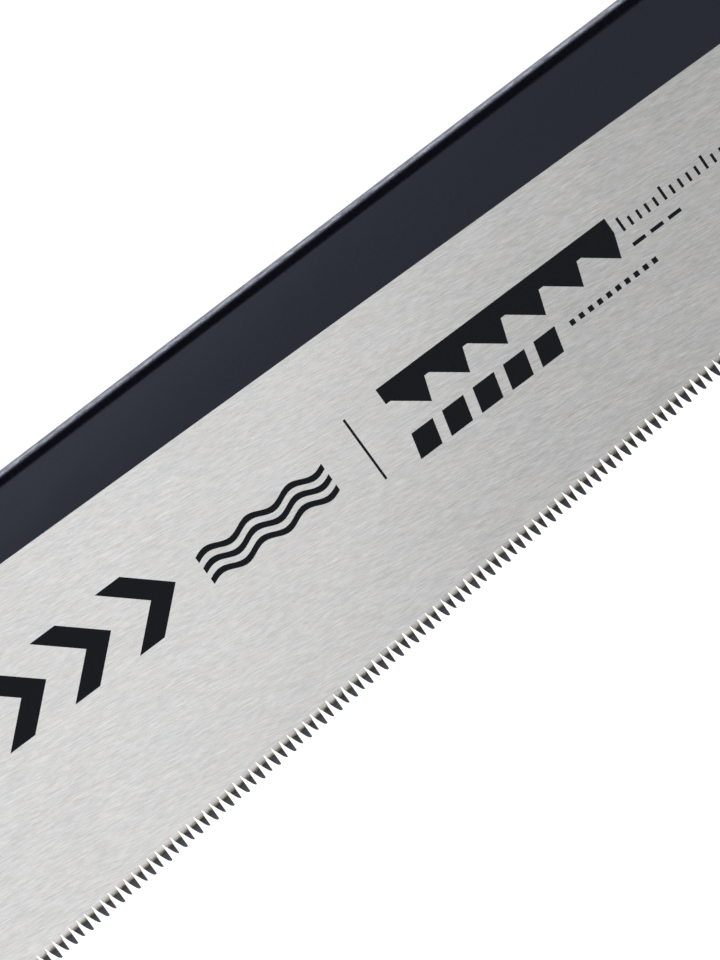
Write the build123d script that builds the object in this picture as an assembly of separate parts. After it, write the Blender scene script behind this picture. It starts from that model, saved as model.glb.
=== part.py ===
from build123d import *

# Pull-stroke back saw: a thin toothed blade stiffened by a folded steel back, held by a
# thumb screw in a long straight handle bound with split cane.
#
# Frame, in millimetres: the saw lies on its side with the blade level. +X runs from the toe to the
# butt of the handle, +Y from the teeth to the back, +Z up. The origin is the middle of the footprint,
# on the surface that the saw lies on.

import math
import os

# Overall layout along X
OVERALL_LENGTH = 600.0
X_TOE = -OVERALL_LENGTH / 2
X_BUTT = OVERALL_LENGTH / 2
X_BLADE_MIDDLE = X_TOE + 140.0

# Handle section: a rounded rectangle, Y by Z
HANDLE_HEIGHT = 34.0
HANDLE_THICKNESS = 26.0
HANDLE_CORNER = 11.0
Z_BLADE = HANDLE_THICKNESS / 2

# Blade. Depths are measured down from the top of the back.
BLADE_THICKNESS = 0.3
DEPTH_MIDDLE = 56.6
DEPTH_SLOPE = 0.060
TOE_RAKE = 4.0
END_LAND = 1.03
HEEL_LAND = 4.0
HEEL_RUN = 8.0
HEEL_CORNER_RADIUS = 3.0
HEEL_SWEEP_RADIUS = 18.0

# Teeth. The corners of a tooth are shares of the pitch along, and of the depth down from the gullets.
TOOTH_PITCH = 1.487
TOOTH_COUNT = 161
TOOTH_DEPTH = 2.72
GULLET_STEP = 0.25
TOE_SHOULDER = (0.50, 0.88)
TOOTH_TIP = (0.74, 1.0)
HEEL_KNEE = (0.88, 0.15)

# Back: a strip folded over the top edge of the blade
BACK_SHEET = 1.1
BACK_TOP_RADIUS = 2.1
BACK_HEIGHT_MIDDLE = 11.8
BACK_HEIGHT_SLOPE = 0.0286
BACK_PINCH_GAP = 0.01
BACK_BULGE = 0.15
X_BACK_FRONT = X_TOE + 3.5
X_BACK_PARALLEL = -30.0
X_BACK_REAR = 22.0
BLADE_TOP_DEPTH = 1.5

# Tang, the tail of the blade that goes into the holder
TANG_DEPTH = 25.5
TANG_STEP_DEPTH = 15.0
X_TANG_REAR = 4.0
SCREW_DEPTH = 20.6
SCREW_RADIUS = 2.5
X_SCREW = -14.0
X_STOP_PIN = 18.0
STOP_PIN_DEPTH = 7.7
STOP_PIN_RADIUS = 1.5
SLOT_CLEARANCE = 0.3

# Holder: a bent steel channel open towards the teeth, with a pad on each side of the tang
HOLDER_SHEET = 1.5
HOLDER_HALF_GAP = 2.4
HOLDER_HALF_WIDTH = HOLDER_HALF_GAP + HOLDER_SHEET
HOLDER_TOP_GAP = 0.35
HOLDER_BOTTOM_DEPTH = 27.0
HOLDER_BEND_RADIUS = 1.9
HOLDER_CORNER_RADIUS = 5.0
X_HOLDER_FRONT = -36.0
X_HOLDER_SHOULDER = 24.0
X_HOLDER_REAR = 66.0
TAIL_TOP_DEPTH = 5.0
TAIL_BOTTOM_DEPTH = 21.0
PAD_TOP_DEPTH = 15.8
PAD_BOTTOM_DEPTH = 26.3
PAD_CLEARANCE = 0.1
X_PAD_FRONT = -32.0
X_PAD_REAR = 8.0
RIVET_RADIUS = 1.5
RIVET_STATIONS = (54.0, 61.0)

# Handle pieces along X
AXIS_DEPTH = 13.0
X_FERRULE_FRONT = 0.0
X_FERRULE_FULL = 14.0
X_FERRULE_REAR = 48.0
X_CAP_FRONT = 268.0
BINDING_WIDTH = 6.0
BINDING_INSET = 0.1
NOSE_HEIGHT = 31.0
NOSE_THICKNESS = 21.0
NOSE_CORNER = 8.5
NOSE_FILLET = 1.5
FRONT_TENON = (28.0, 20.0, 8.0)
REAR_TENON = (24.0, 16.0, 7.0)
REAR_TENON_LENGTH = 10.0
CANE_THICKNESS = 1.5
CANE_INSET = 0.2
FIT_GAP = 0.1
BUTT_FILLET = 7.0

# Clamp screw, its knob, washer and nut
KNOB_RADIUS = 7.75
KNOB_HEIGHT = 8.0
KNOB_SCALLOPS = 20
KNOB_SCALLOP_RADIUS = 0.8
KNOB_CHAMFER = 0.9
KNOB_DISH_RADIUS = 4.6
KNOB_DISH_DEPTH = 0.6
KNOB_FACE_GAP = 0.02
Z_KNOB_SEAT = Z_BLADE + HOLDER_HALF_WIDTH
WASHER_RADIUS = 6.4
WASHER_THICKNESS = 1.0
SCREW_HOLE_RADIUS = 2.8
SCREW_SLOT_WIDTH = 1.0
SCREW_SLOT_DEPTH = 0.8
NUT_FLATS = 8.0
NUT_THICKNESS = 4.0
NUT_BORE_RADIUS = 2.55
Z_NUT_SEAT = Z_BLADE - HOLDER_HALF_WIDTH
Z_SCREW_END = Z_NUT_SEAT - NUT_THICKNESS - 1.6

# Cross pins and the hanging hole
FERRULE_PIN_RADIUS = 2.5
X_FERRULE_PIN = 37.0
CAP_PIN_RADIUS = 2.0
X_CAP_PIN = 273.0
X_HANG_HOLE = 286.0
HANG_HOLE_RADIUS = 4.0
EYELET_WALL = 1.0
EYELET_FLANGE_RADIUS = 6.2
EYELET_FLANGE = 0.6


def total_depth(x):
    """Distance from the top of the back down to the line of the tooth tips."""
    return DEPTH_MIDDLE - DEPTH_SLOPE * (x - X_BLADE_MIDDLE)


def back_height(x):
    """Height of the folded back, which grows towards the handle and then stays level."""
    return BACK_HEIGHT_MIDDLE + BACK_HEIGHT_SLOPE * (min(x, X_BACK_PARALLEL) - X_BLADE_MIDDLE)


HANDLE_RISE = HANDLE_HEIGHT / 2 - AXIS_DEPTH
Y_TOP = (total_depth(X_TOE) - HANDLE_RISE) / 2
Y_AXIS = Y_TOP - AXIS_DEPTH
Y_SCREW = Y_TOP - SCREW_DEPTH
Y_STOP_PIN = Y_TOP - STOP_PIN_DEPTH


def rod_z(x, y, radius, z_low, z_high):
    """A cylinder along Z."""
    return Pos(x, y, (z_low + z_high) / 2) * Cylinder(radius, z_high - z_low)


def block(x_low, x_high, y_low, y_high, z_low, z_high):
    """A box given by its limits."""
    middle = Pos((x_low + x_high) / 2, (y_low + y_high) / 2, (z_low + z_high) / 2)
    return middle * Box(x_high - x_low, y_high - y_low, z_high - z_low)


def handle_section(x, height, thickness, corner):
    """A rounded rectangle across the handle's axis at station x."""
    plane = Plane(origin=(x, Y_AXIS, Z_BLADE), x_dir=(0, 1, 0), z_dir=(1, 0, 0))
    return plane * RectangleRounded(height, thickness, corner)


def handle_bar(x_low, x_high, height, thickness, corner):
    """A straight bar of that section along the handle's axis."""
    return extrude(handle_section(x_low, height, thickness, corner), x_high - x_low)


def tooth_line():
    """Outline of the teeth from toe to heel. The teeth lean towards the handle, to cut on the pull."""
    tilt = math.atan(DEPTH_SLOPE)
    along = Vector(math.cos(tilt), math.sin(tilt), 0)
    inward = Vector(-math.sin(tilt), math.cos(tilt), 0)
    corner = Vector(X_TOE, Y_TOP - total_depth(X_TOE), 0)
    start = corner + along * END_LAND
    gullet = start + along * GULLET_STEP + inward * TOOTH_DEPTH
    points = [corner, start, gullet]
    for _ in range(TOOTH_COUNT):
        for share_along, share_down in (TOE_SHOULDER, TOOTH_TIP, HEEL_KNEE):
            points.append(
                gullet + along * (share_along * TOOTH_PITCH) - inward * (share_down * TOOTH_DEPTH)
            )
        gullet += along * TOOTH_PITCH
        points.append(gullet)
    points.append(gullet - inward * TOOTH_DEPTH + along * GULLET_STEP)
    return points


def make_blade():
    """The toothed plate, with its swept heel, slotted tang and the notch for the stop pin."""
    teeth = tooth_line()
    heel_corner = teeth[-1] + Vector(HEEL_LAND, HEEL_LAND * DEPTH_SLOPE, 0)
    tang_y = Y_TOP - TANG_DEPTH
    sweep_corner = Vector(heel_corner.X + HEEL_RUN, tang_y, 0)
    tang_end = Vector(X_TANG_REAR, tang_y, 0)
    heel = FilletPolyline(
        teeth[-1], heel_corner, sweep_corner, tang_end,
        radius=[HEEL_CORNER_RADIUS, HEEL_SWEEP_RADIUS],
    )
    step_y = Y_TOP - TANG_STEP_DEPTH
    rear = X_BACK_REAR - BLADE_THICKNESS
    rest = Polyline(
        tang_end,
        (X_TANG_REAR, step_y),
        (rear, step_y),
        (rear, Y_TOP - BLADE_TOP_DEPTH),
        (X_TOE + TOE_RAKE, Y_TOP - BLADE_TOP_DEPTH),
        teeth[0],
    )
    outline = make_face(Curve() + [Polyline(*teeth), heel, rest])
    plate = extrude(Pos(0, 0, Z_BLADE - BLADE_THICKNESS / 2) * outline, BLADE_THICKNESS)
    plate -= rear_slot(X_SCREW, Y_SCREW, SCREW_RADIUS + SLOT_CLEARANCE)
    return plate - rear_slot(X_STOP_PIN, Y_STOP_PIN, STOP_PIN_RADIUS + SLOT_CLEARANCE)


def rear_slot(x, y, radius):
    """Tool for a slot that is round at x and open towards the butt."""
    low, high = Z_BLADE - HANDLE_THICKNESS / 2, Z_BLADE + HANDLE_THICKNESS / 2
    length = X_BACK_REAR + radius - x
    return rod_z(x, y, radius, low, high) + block(x, x + length, y - radius, y + radius, low, high)


def back_profile(x):
    """Section of the fold at station x: a round top and two slightly bowed legs that pinch the blade."""
    inner_radius = BACK_TOP_RADIUS - BACK_SHEET
    crown = -BACK_TOP_RADIUS
    foot = -back_height(x)
    pinch = BLADE_THICKNESS / 2 + BACK_PINCH_GAP
    outer = pinch + BACK_SHEET
    belly = ((crown + foot) / 2, (BACK_TOP_RADIUS + outer) / 2 + BACK_BULGE)
    section = ThreePointArc((crown, BACK_TOP_RADIUS), belly, (foot, outer))
    section += Polyline((foot, outer), (foot, pinch), (crown, inner_radius))
    section += ThreePointArc((crown, inner_radius), (crown + inner_radius, 0), (crown, -inner_radius))
    section += Polyline((crown, -inner_radius), (foot, -pinch), (foot, -outer))
    section += ThreePointArc((foot, -outer), (belly[0], -belly[1]), (crown, -BACK_TOP_RADIUS))
    section += ThreePointArc((crown, -BACK_TOP_RADIUS), (0, 0), (crown, BACK_TOP_RADIUS))
    plane = Plane(origin=(x, Y_TOP, Z_BLADE), x_dir=(0, 1, 0), z_dir=(1, 0, 0))
    return plane * make_face(section)


def make_back():
    """The folded back: tapered along the teeth, level from the neck into the holder."""
    tapered = loft([back_profile(X_BACK_FRONT), back_profile(X_BACK_PARALLEL)], ruled=True)
    level = extrude(back_profile(X_BACK_PARALLEL), X_BACK_REAR - X_BACK_PARALLEL)
    return (tapered + level) - rear_slot(X_STOP_PIN, Y_STOP_PIN, STOP_PIN_RADIUS + SLOT_CLEARANCE)


def make_holder():
    """The bent channel that takes the back, with two straps running on into the handle."""
    z_low, z_high = Z_BLADE - HOLDER_HALF_WIDTH, Z_BLADE + HOLDER_HALF_WIDTH
    y_high = Y_TOP + HOLDER_TOP_GAP + HOLDER_SHEET
    y_low = Y_TOP - HOLDER_BOTTOM_DEPTH
    channel = block(X_HOLDER_FRONT, X_HOLDER_SHOULDER, y_low, y_high, z_low, z_high)
    bends = channel.edges().filter_by(Axis.X).group_by(Axis.Y)[-1]
    channel = fillet(bends, HOLDER_BEND_RADIUS)
    front_corner = channel.edges().filter_by(Axis.Z).group_by(Axis.X)[0].sort_by(Axis.Y)[0]
    channel = fillet(front_corner, HOLDER_CORNER_RADIUS)
    tail = block(
        X_HOLDER_SHOULDER, X_HOLDER_REAR, Y_TOP - TAIL_BOTTOM_DEPTH, Y_TOP - TAIL_TOP_DEPTH, z_low, z_high
    )
    gap = block(
        X_HOLDER_FRONT, X_HOLDER_REAR, y_low, Y_TOP + HOLDER_TOP_GAP,
        Z_BLADE - HOLDER_HALF_GAP, Z_BLADE + HOLDER_HALF_GAP,
    )
    holder = channel + tail - gap
    holder -= rod_z(X_SCREW, Y_SCREW, SCREW_HOLE_RADIUS, z_low, z_high)
    holder -= rod_z(X_STOP_PIN, Y_STOP_PIN, STOP_PIN_RADIUS, z_low, z_high)
    holder -= rod_z(X_FERRULE_PIN, Y_AXIS, FERRULE_PIN_RADIUS, z_low, z_high)
    for x in RIVET_STATIONS:
        holder -= rod_z(x, Y_AXIS, RIVET_RADIUS, z_low, z_high)
    return holder


def make_pad(side):
    """The spacer between the tang and one wall of the holder. side is 1 above, -1 below."""
    near = Z_BLADE + side * (BLADE_THICKNESS / 2 + PAD_CLEARANCE)
    far = Z_BLADE + side * HOLDER_HALF_GAP
    low, high = min(near, far), max(near, far)
    pad = block(X_PAD_FRONT, X_PAD_REAR, Y_TOP - PAD_BOTTOM_DEPTH, Y_TOP - PAD_TOP_DEPTH, low, high)
    return pad - rod_z(X_SCREW, Y_SCREW, SCREW_HOLE_RADIUS, low, high)


def hexagon(flats, z_low, z_high):
    """A hexagonal prism on the screw's axis."""
    outline = RegularPolygon(flats / 2, 6, major_radius=False)
    return extrude(Pos(X_SCREW, Y_SCREW, z_low) * outline, z_high - z_low)


def make_ferrule():
    """The front collar: a tapered nose, a slot for the holder and a socket for the core."""
    nose = loft(
        [
            handle_section(X_FERRULE_FRONT, NOSE_HEIGHT, NOSE_THICKNESS, NOSE_CORNER),
            handle_section(X_FERRULE_FULL, HANDLE_HEIGHT, HANDLE_THICKNESS, HANDLE_CORNER),
        ],
        ruled=True,
    )
    nose = fillet(nose.faces().sort_by(Axis.X)[0].edges(), NOSE_FILLET)
    body = nose + handle_bar(
        X_FERRULE_FULL, X_FERRULE_REAR, HANDLE_HEIGHT, HANDLE_THICKNESS, HANDLE_CORNER
    )
    half_slot = HOLDER_HALF_WIDTH + FIT_GAP / 2
    body -= block(
        X_FERRULE_FRONT, X_HOLDER_SHOULDER + FIT_GAP,
        Y_TOP - HOLDER_BOTTOM_DEPTH - FIT_GAP, Y_TOP + HOLDER_TOP_GAP + HOLDER_SHEET + FIT_GAP,
        Z_BLADE - half_slot, Z_BLADE + half_slot,
    )
    body -= handle_bar(X_HOLDER_SHOULDER + FIT_GAP, X_FERRULE_REAR, *FRONT_TENON)
    return body - rod_z(X_FERRULE_PIN, Y_AXIS, FERRULE_PIN_RADIUS, 0, HANDLE_THICKNESS)


def strap_slit(side):
    """Tool for the saw cut that takes one strap of the holder. side is 1 above, -1 below."""
    near = Z_BLADE + side * (HOLDER_HALF_GAP - FIT_GAP / 2)
    far = Z_BLADE + side * (HOLDER_HALF_WIDTH + FIT_GAP / 2)
    return block(
        X_HOLDER_SHOULDER, X_HOLDER_REAR + FIT_GAP,
        Y_TOP - TAIL_BOTTOM_DEPTH - FIT_GAP, Y_TOP - TAIL_TOP_DEPTH + FIT_GAP,
        min(near, far), max(near, far),
    )


def make_core():
    """The wooden core: full section under the cane, a tenon at each end, slits for the straps."""
    height = HANDLE_HEIGHT - 2 * (CANE_THICKNESS + CANE_INSET)
    thickness = HANDLE_THICKNESS - 2 * (CANE_THICKNESS + CANE_INSET)
    corner = HANDLE_CORNER - CANE_THICKNESS - CANE_INSET
    core = handle_bar(X_FERRULE_REAR, X_CAP_FRONT, height, thickness, corner)
    front = [size - FIT_GAP for size in FRONT_TENON]
    rear = [size - FIT_GAP for size in REAR_TENON]
    core += handle_bar(X_HOLDER_SHOULDER + 2 * FIT_GAP, X_FERRULE_REAR, *front)
    core += handle_bar(X_CAP_FRONT, X_CAP_FRONT + REAR_TENON_LENGTH, *rear)
    core -= strap_slit(1)
    core -= strap_slit(-1)
    core -= rod_z(X_FERRULE_PIN, Y_AXIS, FERRULE_PIN_RADIUS, 0, HANDLE_THICKNESS)
    core -= rod_z(X_CAP_PIN, Y_AXIS, CAP_PIN_RADIUS, 0, HANDLE_THICKNESS)
    for x in RIVET_STATIONS:
        core -= rod_z(x, Y_AXIS, RIVET_RADIUS, 0, HANDLE_THICKNESS)
    return core


def core_sleeve(x_low, x_high, inset):
    """A sleeve over the full section of the core. inset is how far it lies inside the ferrule's face."""
    height = HANDLE_HEIGHT - 2 * inset
    thickness = HANDLE_THICKNESS - 2 * inset
    wall = CANE_THICKNESS + CANE_INSET - inset
    sleeve = handle_bar(x_low, x_high, height, thickness, HANDLE_CORNER - inset)
    inside = (height - 2 * wall, thickness - 2 * wall, HANDLE_CORNER - inset - wall)
    return sleeve - handle_bar(x_low, x_high, *inside)


def make_butt_cap():
    """The end cap, with a socket for the core's rear tenon and the hanging hole."""
    cap = handle_bar(X_CAP_FRONT, X_BUTT, HANDLE_HEIGHT, HANDLE_THICKNESS, HANDLE_CORNER)
    cap = fillet(cap.faces().sort_by(Axis.X)[-1].edges(), BUTT_FILLET)
    cap -= handle_bar(X_CAP_FRONT, X_CAP_FRONT + REAR_TENON_LENGTH + FIT_GAP, *REAR_TENON)
    cap -= rod_z(X_CAP_PIN, Y_AXIS, CAP_PIN_RADIUS, 0, HANDLE_THICKNESS)
    cap -= rod_z(X_HANG_HOLE, Y_AXIS, HANG_HOLE_RADIUS + EYELET_WALL, 0, HANDLE_THICKNESS)
    cap -= rod_z(X_HANG_HOLE, Y_AXIS, EYELET_FLANGE_RADIUS, 0, EYELET_FLANGE)
    cap -= rod_z(
        X_HANG_HOLE, Y_AXIS, EYELET_FLANGE_RADIUS, HANDLE_THICKNESS - EYELET_FLANGE, HANDLE_THICKNESS
    )
    return cap


def make_eyelet():
    """The brass tube that lines the hanging hole, with a flush flange at each face."""
    eyelet = rod_z(X_HANG_HOLE, Y_AXIS, HANG_HOLE_RADIUS + EYELET_WALL, 0, HANDLE_THICKNESS)
    eyelet += rod_z(X_HANG_HOLE, Y_AXIS, EYELET_FLANGE_RADIUS, 0, EYELET_FLANGE)
    eyelet += rod_z(
        X_HANG_HOLE, Y_AXIS, EYELET_FLANGE_RADIUS, HANDLE_THICKNESS - EYELET_FLANGE, HANDLE_THICKNESS
    )
    return eyelet - rod_z(X_HANG_HOLE, Y_AXIS, HANG_HOLE_RADIUS, 0, HANDLE_THICKNESS)


def make_knob():
    """The fluted thumb knob, with a dished top."""
    z_low = Z_KNOB_SEAT + WASHER_THICKNESS + KNOB_FACE_GAP
    z_high = z_low + KNOB_HEIGHT
    knob = rod_z(X_SCREW, Y_SCREW, KNOB_RADIUS, z_low, z_high)
    knob = chamfer(knob.edges(), KNOB_CHAMFER)
    for i in range(KNOB_SCALLOPS):
        angle = 2 * math.pi * i / KNOB_SCALLOPS
        x = X_SCREW + KNOB_RADIUS * math.cos(angle)
        y = Y_SCREW + KNOB_RADIUS * math.sin(angle)
        knob -= rod_z(x, y, KNOB_SCALLOP_RADIUS, z_low, z_high)
    knob -= rod_z(X_SCREW, Y_SCREW, KNOB_DISH_RADIUS, z_high - KNOB_DISH_DEPTH, z_high)
    return knob - rod_z(X_SCREW, Y_SCREW, SCREW_RADIUS, z_low, z_high)


def make_clamp_screw():
    """The screw, fixed in the knob and reaching through the holder into the nut, with a driver slot."""
    z_high = Z_KNOB_SEAT + WASHER_THICKNESS + KNOB_FACE_GAP + KNOB_HEIGHT - KNOB_DISH_DEPTH
    screw = rod_z(X_SCREW, Y_SCREW, SCREW_RADIUS, Z_SCREW_END, z_high)
    slot = block(
        X_SCREW - SCREW_RADIUS, X_SCREW + SCREW_RADIUS,
        Y_SCREW - SCREW_SLOT_WIDTH / 2, Y_SCREW + SCREW_SLOT_WIDTH / 2,
        z_high - SCREW_SLOT_DEPTH, z_high,
    )
    return screw - slot


def make_washer():
    """The washer between the knob and its seat."""
    z_high = Z_KNOB_SEAT + WASHER_THICKNESS
    washer = rod_z(X_SCREW, Y_SCREW, WASHER_RADIUS, Z_KNOB_SEAT, z_high)
    return washer - rod_z(X_SCREW, Y_SCREW, SCREW_HOLE_RADIUS, Z_KNOB_SEAT, z_high)


def make_nut():
    """The hexagonal nut, fixed to the underside of the holder."""
    nut = hexagon(NUT_FLATS, Z_NUT_SEAT - NUT_THICKNESS, Z_NUT_SEAT)
    return nut - rod_z(X_SCREW, Y_SCREW, NUT_BORE_RADIUS, Z_NUT_SEAT - NUT_THICKNESS, Z_NUT_SEAT)


def make_rivets():
    """The pins that fix the holder's straps in the wooden core."""
    half = HANDLE_THICKNESS / 2 - CANE_THICKNESS - CANE_INSET
    rivets = [rod_z(x, Y_AXIS, RIVET_RADIUS, Z_BLADE - half, Z_BLADE + half) for x in RIVET_STATIONS]
    return Compound(rivets)


def main():
    x_wrap_front = X_FERRULE_REAR + BINDING_WIDTH
    x_wrap_rear = X_CAP_FRONT - BINDING_WIDTH
    nodes = {
        "blade": make_blade(),
        "back": make_back(),
        "holder": make_holder(),
        "clamp_pad_upper": make_pad(1),
        "clamp_pad_lower": make_pad(-1),
        "stop_pin": rod_z(
            X_STOP_PIN, Y_STOP_PIN, STOP_PIN_RADIUS,
            Z_BLADE - HOLDER_HALF_WIDTH, Z_BLADE + HOLDER_HALF_WIDTH,
        ),
        "clamp_screw": make_clamp_screw(),
        "thumb_knob": make_knob(),
        "knob_washer": make_washer(),
        "clamp_nut": make_nut(),
        "ferrule": make_ferrule(),
        "ferrule_pin": rod_z(X_FERRULE_PIN, Y_AXIS, FERRULE_PIN_RADIUS, 0, HANDLE_THICKNESS),
        "handle_core": make_core(),
        "holder_rivets": make_rivets(),
        "front_binding": core_sleeve(X_FERRULE_REAR, x_wrap_front, BINDING_INSET),
        "cane_wrap": core_sleeve(x_wrap_front, x_wrap_rear, CANE_INSET),
        "rear_binding": core_sleeve(x_wrap_rear, X_CAP_FRONT, BINDING_INSET),
        "butt_cap": make_butt_cap(),
        "butt_cap_pin": rod_z(X_CAP_PIN, Y_AXIS, CAP_PIN_RADIUS, 0, HANDLE_THICKNESS),
        "hang_eyelet": make_eyelet(),
    }
    os.makedirs("parts", exist_ok=True)
    for name, shape in nodes.items():
        export_step(shape, f"parts/{name}.step")


main()
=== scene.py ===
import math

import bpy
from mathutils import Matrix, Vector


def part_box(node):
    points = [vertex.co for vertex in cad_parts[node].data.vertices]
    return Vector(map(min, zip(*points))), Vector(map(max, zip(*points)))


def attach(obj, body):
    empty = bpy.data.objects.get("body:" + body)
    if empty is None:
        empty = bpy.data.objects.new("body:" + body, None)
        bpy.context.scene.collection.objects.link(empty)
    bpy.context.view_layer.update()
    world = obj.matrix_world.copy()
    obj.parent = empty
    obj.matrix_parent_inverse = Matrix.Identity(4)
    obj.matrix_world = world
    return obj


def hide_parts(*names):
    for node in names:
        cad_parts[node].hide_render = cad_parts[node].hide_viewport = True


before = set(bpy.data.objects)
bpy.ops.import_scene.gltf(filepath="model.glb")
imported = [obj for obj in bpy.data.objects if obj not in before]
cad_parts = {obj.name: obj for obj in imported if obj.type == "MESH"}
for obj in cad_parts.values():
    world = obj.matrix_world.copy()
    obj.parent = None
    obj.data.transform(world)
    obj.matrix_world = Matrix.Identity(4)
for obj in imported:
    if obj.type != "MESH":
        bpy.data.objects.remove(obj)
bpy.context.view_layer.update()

# Looks of a pull-stroke back saw: a brushed blade with tempered teeth under a painted folded back,
# a fluted clamp knob, and a handle wound with split cane. Lengths are in millimetres until a mesh
# is made, and in the row frame: +X from toe to handle, +Y from teeth to back, +Z up.

MM = 0.001


def box_mm(node):
    """Lowest and highest corner of a CAD node, in millimetres."""
    low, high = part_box(node)
    return low / MM, high / MM


BLADE_LOW, BLADE_HIGH = box_mm("blade")
BACK_HIGH = box_mm("back")[1]
WRAP_LOW, WRAP_HIGH = box_mm("cane_wrap")
FERRULE_LOW, FERRULE_HIGH = box_mm("ferrule")

# Places that the pieces are measured from
X_TOE = BLADE_LOW.x
Y_TOP = BACK_HIGH.y
Z_BLADE = (BLADE_LOW.z + BLADE_HIGH.z) / 2
VIEW_FROM_TOE = 140.0
VIEW_DEPTH = 32.83
X_VIEW = X_TOE + VIEW_FROM_TOE
Y_AXIS = (FERRULE_LOW.y + FERRULE_HIGH.y) / 2
Z_AXIS = (FERRULE_LOW.z + FERRULE_HIGH.z) / 2
VIEW_POINT = Vector((X_VIEW, Y_TOP - VIEW_DEPTH, Z_BLADE)) * MM

# The tooth line, which the steel's temper colours follow. The drawn teeth stand TIP_REACH past the
# CAD's, and the line rises by DEPTH_SLOPE from toe to heel.
DEPTH_SLOPE = 0.060
TOOTH_DEPTH = 2.72
TIP_REACH = 0.13

# ---------------------------------------------------------------- node materials


def add_node(tree, kind, inputs=None, **settings):
    """A shader node with its settings, and its inputs set or linked."""
    made = tree.nodes.new(kind)
    for name, value in settings.items():
        setattr(made, name, value)
    for name, value in (inputs or {}).items():
        socket = made.inputs[name]
        if isinstance(value, bpy.types.NodeSocket):
            tree.links.new(value, socket)
        else:
            socket.default_value = value
    return made


def new_material(name):
    """An empty node material with a Principled shader. Returns the material, its tree and the shader."""
    material = bpy.data.materials.new(name)
    material.use_nodes = True
    tree = material.node_tree
    return material, tree, tree.nodes["Principled BSDF"]


def colour(r, g, b):
    """A linear colour with full alpha."""
    return (r, g, b, 1.0)


def streak_noise(tree, size, turn=0.0, detail=3.0, roughness=0.6, offset=0.0):
    """Noise with grains of the given size in mm along X, Y and Z, turned about Z by degrees."""
    place = add_node(tree, "ShaderNodeTexCoord").outputs["Object"]
    turned = add_node(tree, "ShaderNodeMapping", {
        "Vector": place,
        "Rotation": (0.0, 0.0, math.radians(turn)),
    })
    scaled = add_node(tree, "ShaderNodeMapping", {
        "Vector": turned.outputs["Vector"],
        "Location": (offset, offset, offset),
        "Scale": tuple(1.0 / (s * MM) for s in size),
    })
    noise = add_node(tree, "ShaderNodeTexNoise", {
        "Vector": scaled.outputs["Vector"],
        "Scale": 1.0,
        "Detail": detail,
        "Roughness": roughness,
    })
    return noise.outputs["Fac"]


def remap(tree, value, low, high, to_low, to_high):
    """value scaled from one range to another, and kept inside it."""
    made = add_node(tree, "ShaderNodeMapRange", {
        "Value": value, "From Min": low, "From Max": high, "To Min": to_low, "To Max": to_high,
    })
    return made.outputs["Result"]


def maths(tree, operation, a, b):
    """One arithmetic step."""
    made = add_node(tree, "ShaderNodeMath", operation=operation)
    for socket, value in zip(made.inputs, (a, b)):
        if isinstance(value, bpy.types.NodeSocket):
            tree.links.new(value, socket)
        else:
            socket.default_value = value
    return made.outputs["Value"]


def mix(tree, factor, a, b, blend="MIX"):
    """Two colours mixed by a factor."""
    made = add_node(tree, "ShaderNodeMix", data_type="RGBA", blend_type=blend)
    for socket, value in ((made.inputs[0], factor), (made.inputs[6], a), (made.inputs[7], b)):
        if isinstance(value, bpy.types.NodeSocket):
            tree.links.new(value, socket)
        else:
            socket.default_value = value
    return made.outputs[2]


def ramp(tree, value, stops):
    """A colour ramp with (position, colour) stops."""
    made = add_node(tree, "ShaderNodeValToRGB", {"Fac": value})
    elements = made.color_ramp.elements
    while len(elements) < len(stops):
        elements.new(0.5)
    for element, (position, rgb) in zip(elements, stops):
        element.position = position
        element.color = colour(*rgb)
    return made.outputs["Color"]


def bump(tree, height, strength, distance):
    """A bump normal from a height. distance is in millimetres."""
    made = add_node(tree, "ShaderNodeBump", {
        "Height": height, "Strength": strength, "Distance": distance * MM,
    })
    return made.outputs["Normal"]


# Two tones of bare steel, and the direction of its brush marks in degrees
STEEL_WARM = (0.685, 0.676, 0.664)
STEEL_COOL = (0.672, 0.674, 0.678)
BRUSH_TURN = 7.5


def tooth_share(tree):
    """How far a point is below the line of the gullets, as a share of the depth of the teeth."""
    tilt = math.atan(DEPTH_SLOPE)
    inward = Vector((-math.sin(tilt), math.cos(tilt), 0.0))
    tips = inward.dot(Vector((X_TOE, BLADE_LOW.y, 0.0))) - TIP_REACH
    place = add_node(tree, "ShaderNodeTexCoord").outputs["Object"]
    height = add_node(tree, "ShaderNodeVectorMath", operation="DOT_PRODUCT")
    tree.links.new(place, height.inputs[0])
    height.inputs[1].default_value = inward
    return remap(tree, height.outputs["Value"], (tips + TOOTH_DEPTH) * MM, tips * MM, 0.0, 1.0)


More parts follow.
